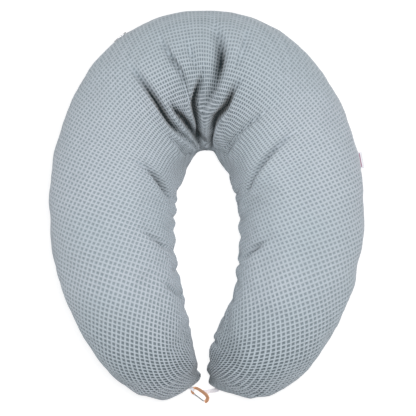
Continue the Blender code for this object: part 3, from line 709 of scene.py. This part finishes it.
def plain_weave_material(name, light, dark, threads):
    """A fine plain weave, for the inner casing."""
    n = Nodes(name)
    u, v = n.cloth()
    weave = n.math("MULTIPLY_ADD", n.math("MULTIPLY", n.wave(u, threads), n.wave(v, threads)), 0.5, 0.5)
    return n.finish(n.mix(weave, dark, light), n.bump(weave, 0.4, 0.0002), 0.85)


def speckled_material(name, low, high, scale, roughness, metallic=0.0, bump=0.2, depth=0.0003):
    """A finish mottled by noise between two colours, with a slightly uneven surface."""
    n = Nodes(name)
    place = n.place()
    spread = n.noise(scale, 4.0, 0.55, place)
    uneven = n.math("MULTIPLY_ADD", spread, 0.2, roughness - 0.1)
    return n.finish(n.mix(spread, low, high), n.bump(n.noise(scale * 2.0, 3.0, 0.5, place), bump, depth),
                    uneven, Metallic=metallic)


def satin_material(name):
    """Satin ribbon: a bright ground with fine ribs running along it."""
    n = Nodes(name)
    _, v = n.cloth()
    ribs = n.math("MULTIPLY_ADD", n.wave(v, 60.0), 0.5, 0.5)
    return n.finish(n.mix(ribs, (0.86, 0.85, 0.91), (0.96, 0.95, 0.98)), n.bump(ribs, 0.25, 0.0001), 0.38,
                    Sheen_Weight=0.3)


def label_material(name):
    """A woven white label with one plain mauve stripe and no lettering."""
    n = Nodes(name)
    u, v = n.cloth()
    weave = n.math("MULTIPLY_ADD", n.math("MULTIPLY", n.wave(u, 90.0), n.wave(v, 90.0)), 0.5, 0.5)
    ground = n.mix(weave, (0.80, 0.79, 0.84), (0.92, 0.91, 0.95))
    stripe = n.math("LESS_THAN", n.math("ABSOLUTE", n.math("SUBTRACT", u, 0.62)), 0.075)
    inside = n.math("LESS_THAN", n.math("ABSOLUTE", n.math("SUBTRACT", v, 0.5)), 0.42)
    return n.finish(n.mix(n.math("MULTIPLY", stripe, inside), ground, (0.36, 0.16, 0.24)),
                    n.bump(weave, 0.3, 0.0001), 0.7)


WAFFLE = waffle_material("waffle cloth")
CASING = plain_weave_material("casing cloth", (0.82, 0.81, 0.77), (0.66, 0.65, 0.61), 9.0)
FIBRE = speckled_material("filling fibre", (0.84, 0.84, 0.82), (0.95, 0.95, 0.94), 60.0, 0.95,
                          bump=0.6, depth=0.002)


def bend_at_arm(piece):
    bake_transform(piece)


CASING_GAP = 0.0045           # from the deepest fold nearby to the inner casing
FILLING_GAP = 0.0075
swell = blow_up()
for side in ("left", "right"):
    points, (cloth, fold_shade, slack), (bare, bare_normals, push, stations) = build_cover(side, swell[side])
    flip = side == "left"
    for name, gap, finish, colour in (("inner-casing-", CASING_GAP, CASING, "casing_cotton"),
                                      ("filling-", FILLING_GAP, FIBRE, "filling_fibre")):
        last_row = int(np.searchsorted(stations, stations[-1] - 0.03 - gap * 2.0))
        grid, flat = lining_surface(bare, bare_normals, push, gap, last_row)
        piece = grid_object(name + side, grid, flat, finish, flip)
        bend_at_arm(piece)
        node = "inner_casing_" if finish is CASING else "filling_"
        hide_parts(node + side, node + "crown")
    for panel, first, last in (("top", 0, TOP_COLUMNS), ("base", TOP_COLUMNS, TOP_COLUMNS + BASE_COLUMNS)):
        part = slice(first, last + 1)
        marks = (("fold_shade", fold_shade[:, part]), ("slack", slack[:, part]))
        name = "cover-" + panel + "-" + side
        piece = grid_object(name, points[:, part], cloth[:, part], WAFFLE, flip, marks)
        bend_at_arm(piece)
        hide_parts("cover_" + panel + "_" + side, "cover_" + panel + "_crown")

# ---- zip, hook, ribbons and label ----------------------------------------------------------
TAPE = speckled_material("zip tape", (0.30, 0.38, 0.42), (0.36, 0.44, 0.48), 300.0, 0.85, bump=0.5)
COIL = speckled_material("zip nylon", (0.40, 0.46, 0.49), (0.48, 0.54, 0.57), 120.0, 0.42, bump=0.1)
STEEL = speckled_material("brushed steel", (0.60, 0.60, 0.61), (0.74, 0.74, 0.75), 180.0, 0.28, 1.0,
                          bump=0.05)
COPPER = speckled_material("copper", (0.78, 0.38, 0.20), (0.92, 0.52, 0.31), 90.0, 0.32, 0.55, bump=0.06)
SATIN = satin_material("satin ribbon")
LABEL = label_material("woven label")
MAUVE = speckled_material("mauve thread", (0.33, 0.15, 0.23), (0.44, 0.22, 0.31), 400.0, 0.7)
GREY_THREAD = speckled_material("grey thread", (0.40, 0.47, 0.52), (0.50, 0.57, 0.62), 400.0, 0.8)


def fine_object(name, bm, material, body, node, bevel=0.0):
    """Finishes a detailed piece: smooth faces, a small bevel if asked, and what it stands for."""
    mesh = bpy.data.meshes.new(name)
    if bevel:
        bmesh.ops.bevel(bm, geom=bm.edges[:], offset=bevel, segments=2, profile=0.7, affect="EDGES")
    bmesh.ops.recalc_face_normals(bm, faces=bm.faces)
    for face in bm.faces:
        face.smooth = True
    bm.to_mesh(mesh)
    bm.free()
    mesh.materials.append(material)
    made = bpy.data.objects.new(name, mesh)
    bpy.context.scene.collection.objects.link(made)
    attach(made, body)
    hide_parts(node)
    return made


def ring_rows(bm, rings, closed=False, caps=True):
    """Joins rings of points into a tube."""
    made = [[bm.verts.new(point) for point in ring] for ring in rings]
    pairs = list(zip(made, made[1:]))
    if closed:
        pairs.append((made[-1], made[0]))
    for first, second in pairs:
        for index in range(len(first)):
            following = (index + 1) % len(first)
            bm.faces.new((first[index], first[following], second[following], second[index]))
    if caps and not closed:
        bm.faces.new(made[0][::-1])
        bm.faces.new(made[-1])


def add_block(bm, low, high, frame=Matrix.Identity(4)):
    corners = [frame @ Vector((x, y, z)) for z in (low[2], high[2]) for x, y in
               ((low[0], low[1]), (high[0], low[1]), (high[0], high[1]), (low[0], high[1]))]
    verts = [bm.verts.new(corner) for corner in corners]
    for face in ((3, 2, 1, 0), (4, 5, 6, 7), (0, 1, 5, 4), (1, 2, 6, 5), (2, 3, 7, 6), (3, 0, 4, 7)):
        bm.faces.new([verts[index] for index in face])


def upright_frame(x, y, place):
    """Frame at a place, with level x and y axes and z up."""
    return Matrix(((x.x, y.x, 0.0, place.x), (x.y, y.y, 0.0, place.y), (0.0, 0.0, 1.0, place.z),
                   (0.0, 0.0, 0.0, 1.0)))


def crown_frame(degrees, radius, z):
    """Frame on the crown's outer edge: x outwards, y to the left along the edge, z up."""
    turn = math.radians(degrees)
    out = Vector((-math.sin(turn), math.cos(turn), 0.0))
    left = Vector((-out.y, out.x, 0.0))
    return upright_frame(out, left, Vector((CROWN_CENTRE[0], CROWN_CENTRE[1], z)) + out * radius)


def turned_rings(frame, profile, sides):
    """Rings for a turned pin along z, from (radius, z) pairs."""
    angles = np.linspace(0.0, 2.0 * math.pi, sides, endpoint=False)
    return [[frame @ Vector((radius * math.cos(a), radius * math.sin(a), z)) for a in angles]
            for radius, z in profile]


TAPE_RADIUS = CROWN_RADIUS + 0.0003
ZIP_HALF_ANGLE = 42.0
TOOTH_PITCH = 0.0016
TOOTH_Z = 0.0671
SLIDER_ANGLE = 38.0


def build_tape(name, low, high, node, body="crown"):
    """A woven tape: slightly wavy, with a folded outer edge."""
    bm = bmesh.new()
    rings = []
    for degrees in np.linspace(-ZIP_HALF_ANGLE, ZIP_HALF_ANGLE, 220):
        wave = 0.00012 * math.sin(degrees * 1.7) + 0.00008 * math.sin(degrees * 4.3 + 1.0)
        frame = crown_frame(degrees, TAPE_RADIUS, 0.0)
        face = 0.0007 + wave
        fold = face + 0.0002
        ring = [(0.0, low), (face, low), (fold, low + 0.0008), (face, low + 0.0016),
                (face, high - 0.0016), (fold, high - 0.0008), (face, high), (0.0, high)]
        rings.append([frame @ Vector((radial, 0.0, z)) for radial, z in ring])
    ring_rows(bm, rings)
    return fine_object(name, bm, TAPE, body, node)


def build_stitches(name, z, node):
    """A line of straight machine stitches along a tape."""
    bm = bmesh.new()
    pitch = math.degrees(0.0030 / TAPE_RADIUS)
    for degrees in np.arange(-ZIP_HALF_ANGLE + 0.5, ZIP_HALF_ANGLE - 0.5, pitch):
        frame = crown_frame(degrees, TAPE_RADIUS + 0.0008, z)
        add_block(bm, (-0.0001, -0.0011, -0.00018), (0.00022, 0.0011, 0.00018), frame)
    return fine_object(name, bm, GREY_THREAD, "crown", node)


def build_teeth(name, side, node):
    """Coil of one zip row: a small rounded loop for each tooth."""
    bm = bmesh.new()
    pitch = math.degrees(TOOTH_PITCH / TAPE_RADIUS)
    shift = pitch / 2.0 if side > 0 else 0.0
    middle = TOOTH_Z + side * 0.0013
    for degrees in np.arange(-ZIP_HALF_ANGLE + 1.2 + shift, ZIP_HALF_ANGLE - 1.2, pitch):
        frame = crown_frame(degrees, TAPE_RADIUS, middle)
        half = TOOTH_PITCH * 0.27
        ring = []
        for radial, z in ((0.0003, -0.0012), (0.0017, -0.0012), (0.0021, -0.0007), (0.0021, 0.0007),
                          (0.0017, 0.0012), (0.0003, 0.0012)):
            ring.append((radial, z))
        rings = [[frame @ Vector((radial, along, z)) for radial, z in ring] for along in (-half, half)]
        ring_rows(bm, rings)
    return fine_object(name, bm, COIL, "crown", node)


build_tape("zip-tape-upper", 0.0698, 0.0788, "zip_tape_upper")
build_tape("zip-tape-lower", 0.0554, 0.0644, "zip_tape_lower")
build_stitches("zip-stitches-upper", 0.0766, "zip_tape_upper")
build_stitches("zip-stitches-lower", 0.0576, "zip_tape_lower")
build_teeth("zip-teeth-upper", 1.0, "zip_teeth_upper")
build_teeth("zip-teeth-lower", -1.0, "zip_teeth_lower")

def hook_world():
    turn = Matrix.Rotation(math.radians(-41.0), 4, "Z")
    dip = Matrix.Rotation(math.radians(24.0), 4, "Y")
    return Matrix.Translation((-0.030584, -0.336022, 0.021)) @ turn @ dip


HOOK_FRAME = hook_world()
GATE_PIVOT = Vector((0.0085, -0.0053, 0.0))
# middle line of the hook's bar in its own frame: along, sideways, half width there, half depth
HOOK_LINE = (
    (0.0085, -0.0053, 0.0023, 0.0021), (0.0034, -0.0050, 0.0022, 0.0020), (0.0003, -0.0027, 0.0021, 0.0019),
    (0.0000, 0.0000, 0.0020, 0.0019), (0.0003, 0.0032, 0.0022, 0.0020), (0.0044, 0.0058, 0.0026, 0.0022),
    (0.0110, 0.0068, 0.0028, 0.0024), (0.0200, 0.0072, 0.0030, 0.0025), (0.0290, 0.0068, 0.0031, 0.0025),
    (0.0355, 0.0044, 0.0033, 0.0025), (0.0378, 0.0006, 0.0036, 0.0025), (0.0380, -0.0026, 0.0035, 0.0024),
    (0.0368, -0.0056, 0.0031, 0.0022),
)


def build_hook():
    """The cast hook: a rounded bar, broad along its spine and squared at the nose."""
    line = smooth_line(HOOK_LINE, 7)
    bm = bmesh.new()
    rings = []
    for index, (x, y, wide, deep) in enumerate(line):
        ahead = line[min(index + 1, len(line) - 1)][:2] - line[max(index - 1, 0)][:2]
        ahead = ahead / np.linalg.norm(ahead)
        side = (-ahead[1], ahead[0])
        end = min(index, len(line) - 1 - index)
        close = (0.55, 0.85, 0.97)[end] if end < 3 else 1.0
        ring = []
        for step in range(20):
            angle = 2.0 * math.pi * step / 20
            across = math.copysign(abs(math.cos(angle)) ** 0.75, math.cos(angle)) * wide * close
            up = math.copysign(abs(math.sin(angle)) ** 0.75, math.sin(angle)) * deep * close
            ring.append(HOOK_FRAME @ Vector((x + side[0] * across, y + side[1] * across, up)))
        rings.append(ring)
    ring_rows(bm, rings)
    body = fine_object("hook-body", bm, COPPER, "hook", "hook_body")
    cutter_mesh = bpy.data.meshes.new("slot")
    bm = bmesh.new()
    add_block(bm, (0.0045, -0.0105, -0.00105), (0.0120, -0.0022, 0.00105), HOOK_FRAME)
    add_block(bm, (0.0340, -0.0070, -0.00105), (0.0358, -0.0040, 0.00105), HOOK_FRAME)
    bm.to_mesh(cutter_mesh)
    bm.free()
    cutter = bpy.data.objects.new("slot", cutter_mesh)
    bpy.context.scene.collection.objects.link(cutter)
    cut = body.modifiers.new("slot", "BOOLEAN")
    cut.object = cutter
    cut.solver = "EXACT"
    bpy.context.view_layer.update()
    shaped = bpy.data.meshes.new_from_object(body.evaluated_get(bpy.context.evaluated_depsgraph_get()))
    body.modifiers.clear()
    body.data = shaped
    bpy.data.objects.remove(cutter, do_unlink=True)


def build_gate():
    """The thin gate on its pin, closed against the nose."""
    bm = bmesh.new()
    place = HOOK_FRAME @ Matrix.Translation(GATE_PIVOT)
    section = ((-1, -0.6), (-0.7, -1), (0.7, -1), (1, -0.6), (1, 0.6), (0.7, 1), (-0.7, 1), (-1, 0.6))
    rings = []
    for x, wide in ((-0.0016, 0.0007), (-0.0012, 0.0014), (0.0, 0.0019), (0.0014, 0.0016), (0.004, 0.0012),
                    (0.012, 0.0011), (0.020, 0.0011), (0.0244, 0.0011), (0.0252, 0.0008)):
        rings.append([place @ Vector((x, wide * a, 0.00088 * b)) for a, b in section])
    ring_rows(bm, rings)
    fine_object("hook-gate", bm, STEEL, "gate", "hook_gate")
    bm = bmesh.new()
    lower = ((0.0004, -0.0024), (0.0011, -0.0023), (0.0011, -0.0020), (0.0007, -0.0020))
    profile = lower + tuple((radius, -z) for radius, z in reversed(lower))
    ring_rows(bm, turned_rings(place, profile, 16))
    fine_object("hook-gate-pin", bm, STEEL, "hook", "hook_gate_pin")


def ribbon_strip(name, path, across, width, thickness, body, node, closed, ruffle=0.0):
    """A satin ribbon: a thin strip swept along a path, with selvedges and its own cloth map."""
    line = [Vector(point) for point in smooth_line([tuple(point) for point in path], 8)]
    if closed:
        line = line[:-1]
    bm = bmesh.new()
    layer = bm.loops.layers.uv.new("cloth")
    section = [(-1.0, -0.5), (-1.0, 0.5), (-0.88, 0.62), (-0.8, 0.5), (-0.4, 0.5), (0.0, 0.5), (0.4, 0.5),
               (0.8, 0.5), (0.88, 0.62), (1.0, 0.5), (1.0, -0.5), (0.8, -0.5), (0.4, -0.5), (0.0, -0.5),
               (-0.4, -0.5), (-0.8, -0.5)]
    rings = []
    count = len(line)
    for index, point in enumerate(line):
        if closed:
            ahead = line[(index + 1) % count] - line[index - 1]
        else:
            ahead = line[min(count - 1, index + 1)] - line[max(0, index - 1)]
        up = ahead.cross(across).normalized()
        ring = []
        for side, level in section:
            lift = level * thickness + ruffle * math.sin(index * 0.9 + side * 2.0)
            ring.append(point + across * (side * width / 2.0) + up * lift)
        rings.append(ring)
    ring_rows(bm, rings, closed=closed)
    for face in bm.faces:
        for loop in face.loops:
            offset = (loop.vert.co - line[0]).dot(across) / width
            loop[layer].uv = (loop.vert.co.length * 100.0, offset)
    return fine_object(name, bm, SATIN, body, node)


def build_ribbons():
    across = (HOOK_FRAME.to_3x3() @ Vector((0.0, 1.0, 0.0))).normalized()
    bar = 0.0033
    tail = 0.0098
    loop = []
    for angle in np.linspace(130.0, -130.0, 9):
        turn = math.radians(angle)
        loop.append(HOOK_FRAME @ Vector((bar * math.cos(turn), 0.0, bar * math.sin(turn))))
    end = tail + 0.0006
    for x, z in ((-0.0055, -0.0006), (-tail, -0.0006), (-end, 0.0), (-tail, 0.0006), (-0.0055, 0.0006)):
        loop.append(HOOK_FRAME @ Vector((x, 0.0, z)))
    loop.append(loop[0])
    ribbon_strip("hook-ribbon", loop, across, 0.0052, 0.0007, "left_arm", "hook_ribbon", True)
    bm = bmesh.new()
    for step in range(7):
        offset = -0.0020 + 0.0040 * step / 6.0
        lean = 0.0006 if step % 2 else -0.0006
        frame = HOOK_FRAME @ Matrix.Translation((-0.0082 + lean * 0.3, offset, 0.00105))
        frame = frame @ Matrix.Rotation(lean * 500, 4, "Z")
        add_block(bm, (-0.0008, -0.00022, -0.0002), (0.0008, 0.00022, 0.00022), frame)
    fine_object("hook-bar-tack", bm, GREY_THREAD, "left_arm", "hook_bar_tack")
    catch_across = Vector((0.08, 1.0, 0.0)).normalized()
    route = [(0.0185, -0.3370, 0.0125), (0.0147, -0.3390, 0.0115), (0.0080, -0.3410, 0.0060),
             (0.0010, -0.3428, 0.0020), (-0.0060, -0.3438, 0.0013), (-0.0110, -0.3440, 0.0012)]
    ribbon_strip("catch-ribbon-lower", route, catch_across, 0.0080, 0.0006, "right_arm", "catch_ribbon",
                 False)
    upper = [(x + 0.0002, y, z + 0.0009 + 0.0006 * math.sin(index * 1.9))
             for index, (x, y, z) in enumerate(route)]
    upper[-1] = (-0.0114, -0.3440, 0.0018)
    ribbon_strip("catch-ribbon-upper", upper, catch_across, 0.0078, 0.0006, "right_arm", "catch_ribbon",
                 False, 0.00012)


def build_slider():
    """Zip slider: two plates joined by a wedge, flared at the front, and ears for the pull."""
    frame = crown_frame(SLIDER_ANGLE, TAPE_RADIUS, TOOTH_Z)
    bm = bmesh.new()
    for low, high in ((0.0024, 0.0036), (-0.0002, 0.0002)):
        rings = []
        for along, half in ((-0.0050, 0.0031), (-0.0044, 0.0036), (-0.0010, 0.0036), (0.0014, 0.0040),
                            (0.0040, 0.0041), (0.0049, 0.0034)):
            corner = 0.0007
            rings.append([frame @ Vector((radial, along, z)) for radial, z in
                          ((low, -half + corner), (high, -half + corner * 1.4), (high, half - corner * 1.4),
                           (low, half - corner))])
        ring_rows(bm, rings)
    add_block(bm, (0.0001, 0.0030, -0.00008), (0.0026, 0.0047, 0.00008), frame)
    for z in (-0.0031, 0.0020):
        add_block(bm, (0.0034, -0.0012, z), (0.0058, 0.0012, z + 0.0010), frame)
    fine_object("zip-slider", bm, STEEL, "slider", "zip_slider", bevel=0.00015)


def build_pull():
    """The pull: a knuckle, a neck and a tab with a slot near its end."""
    axis = Vector((-0.1616, 0.3059, TOOTH_Z))
    turn = Matrix.Rotation(math.radians(38.0), 4, "Z")
    frame = Matrix.Translation(axis) @ turn
    bm = bmesh.new()
    knuckle = ((0.0007, -0.0018), (0.0009, -0.0014), (0.0009, 0.0014), (0.0007, 0.0018))
    ring_rows(bm, turned_rings(frame, knuckle, 14))
    outer = [(0.0006, 0.0012), (0.0030, 0.0013), (0.0048, 0.0026), (0.0080, 0.0030), (0.0200, 0.0030),
             (0.0245, 0.0026), (0.0258, 0.0014)]
    slot_from, slot_to = 0.0175, 0.0235
    for level in (1.0, -1.0):
        for first, second in zip(outer, outer[1:]):
            for side in (1.0, -1.0):
                slot_half = 0.0011 if slot_from <= (first[0] + second[0]) / 2.0 <= slot_to else 0.0
                points = ((first[0], side * slot_half), (second[0], side * slot_half),
                          (second[0], side * second[1]), (first[0], side * first[1]))
                bm.faces.new([bm.verts.new(frame @ Vector((x, level * 0.0006, z))) for x, z in points])
    bmesh.ops.remove_doubles(bm, verts=bm.verts, dist=0.00002)
    bm.verts.ensure_lookup_table()
    around = outer + [(x, -z) for x, z in reversed(outer)]
    edge = [frame @ Vector((x, 0.0, z)) for x, z in around]
    rim = []
    for index, point in enumerate(edge):
        ahead = (edge[(index + 1) % len(edge)] - edge[index - 1]).normalized()
        flat = (frame.to_3x3() @ Vector((0.0, 1.0, 0.0))).normalized()
        out = ahead.cross(flat)
        rim.append([point + out * (0.00025 * math.cos(a)) + flat * (0.0007 * math.sin(a))
                    for a in np.linspace(0.0, 2.0 * math.pi, 10, endpoint=False)])
    ring_rows(bm, rim, closed=True)
    fine_object("zip-pull", bm, STEEL, "pull", "zip_pull")


def build_stops():
    for name, sign in (("left", 1.0), ("right", -1.0)):
        frame = crown_frame(sign * (ZIP_HALF_ANGLE - 0.45), TAPE_RADIUS, TOOTH_Z)
        bm = bmesh.new()
        add_block(bm, (0.0002, -0.0016, -0.0026), (0.0022, 0.0016, 0.0026), frame)
        fine_object("zip-stop-" + name, bm, STEEL, "crown", "zip_stop_" + name, bevel=0.0005)


def build_label():
    """A folded woven label in the right flank's seam, with a plain stripe and no lettering."""
    root = Vector((0.2731, 0.0812, 0.0782))
    down = Vector((0.1564, -0.9877, 0.0)).normalized()
    out = Vector((0.9877, 0.1564, 0.0))
    bm = bmesh.new()
    layer = bm.loops.layers.uv.new("cloth")
    proud, length, half = 0.0115, 0.030, 0.00035
    section = [(-0.002, -1.6), (0.5, -1.9), (0.92, -1.5), (1.0, 0.0), (0.92, 1.5), (0.5, 1.9), (-0.002, 1.6),
               (-0.002, 0.6), (0.5, 0.9), (0.88, 0.4), (0.88, -0.4), (0.5, -0.9), (-0.002, -0.6)]
    rings = []
    for share in np.linspace(-0.5, 0.5, 22):
        wave = 0.0005 * math.sin(share * 7.0) + 0.0003 * math.sin(share * 19.0)
        rings.append([root + down * (share * length) + out * (x * proud)
                      + Vector((0.0, 0.0, z * half + wave * max(0.0, x))) for x, z in section])
    ring_rows(bm, rings)
    for face in bm.faces:
        for loop in face.loops:
            place = loop.vert.co - root
            loop[layer].uv = (place.dot(out) / proud, place.dot(down) / length + 0.5)
    fine_object("side-tag", bm, LABEL, "right_arm", "side_tag")
    bm = bmesh.new()
    for share in np.arange(-0.45, 0.46, 0.075):
        place = root + down * (share * length) + out * 0.0012 + Vector((0.0, 0.0, 0.0006))
        frame = upright_frame(out, down, place)
        add_block(bm, (-0.0002, -0.0008, -0.0001), (0.0002, 0.0008, 0.00022), frame)
    fine_object("side-tag-stitch", bm, MAUVE, "right_arm", "side_tag_stitch")


build_hook()
build_gate()
build_ribbons()
build_slider()
build_pull()
build_stops()
build_label()

# ---- light, camera -------------------------------------------------------------------------
FLOOR_REACH = 20.0
floor_mesh = bpy.data.meshes.new("floor")
corners = [(x * FLOOR_REACH, y * FLOOR_REACH, -0.0008) for x, y in ((-1, -1), (1, -1), (1, 1), (-1, 1))]
floor_mesh.from_pydata(corners, [], [(0, 1, 2, 3)])
floor = bpy.data.objects.new("floor", floor_mesh)
bpy.context.scene.collection.objects.link(floor)
n = Nodes("white sweep")
n.link(n.mix(n.noise(3.0), (0.30, 0.30, 0.30), (0.31, 0.31, 0.31)), n.shader.inputs["Base Color"])
n.shader.inputs["Roughness"].default_value = 1.0
n.shader.inputs["Emission Color"].default_value = (1.0, 1.0, 1.0, 1.0)
n.shader.inputs["Emission Strength"].default_value = 0.83
floor_mesh.materials.append(n.material)

world = bpy.data.worlds.new("studio")
world.use_nodes = True
backdrop = world.node_tree.nodes["Background"]
backdrop.inputs[0].default_value = (0.94, 0.965, 1.0, 1.0)
wrap = Nodes("studio", world.node_tree)
direction = wrap.add("ShaderNodeSeparateXYZ")
wrap.link(wrap.add("ShaderNodeTexCoord").outputs["Generated"], direction.inputs[0])
sideways = direction.outputs[0]
cards = wrap.math("MULTIPLY_ADD", wrap.math("MULTIPLY", sideways, sideways), 0.56, 0.17)
wrap.link(wrap.math("MULTIPLY_ADD", sideways, -0.02, cards), backdrop.inputs[1])
bpy.context.scene.world = world


KEY_PLACE = Vector((0.12, 0.10, 1.9))
KEY_AIM = Vector((0.0, 0.0, 0.05))
key_data = bpy.data.lights.new("key", "AREA")
key_data.shape = "DISK"
key_data.size = 0.45
key_data.energy = 25.0
key_data.color = (1.0, 0.985, 0.985)
key = bpy.data.objects.new("key", key_data)
key.location = KEY_PLACE
key.rotation_euler = (KEY_AIM - KEY_PLACE).to_track_quat("-Z", "Y").to_euler()
bpy.context.scene.collection.objects.link(key)

CAMERA_HEIGHT = 2.29
camera_data = bpy.data.cameras.new("camera")
camera_data.sensor_width = 36.0
camera_data.lens = 105.8
camera = bpy.data.objects.new("camera", camera_data)
camera.location = (0.0030, 0.0, CAMERA_HEIGHT)
camera.rotation_euler = (0.0, 0.0, math.radians(-0.9))
bpy.context.scene.collection.objects.link(camera)
bpy.context.scene.camera = camera
bpy.context.scene.view_settings.view_transform = "Standard"
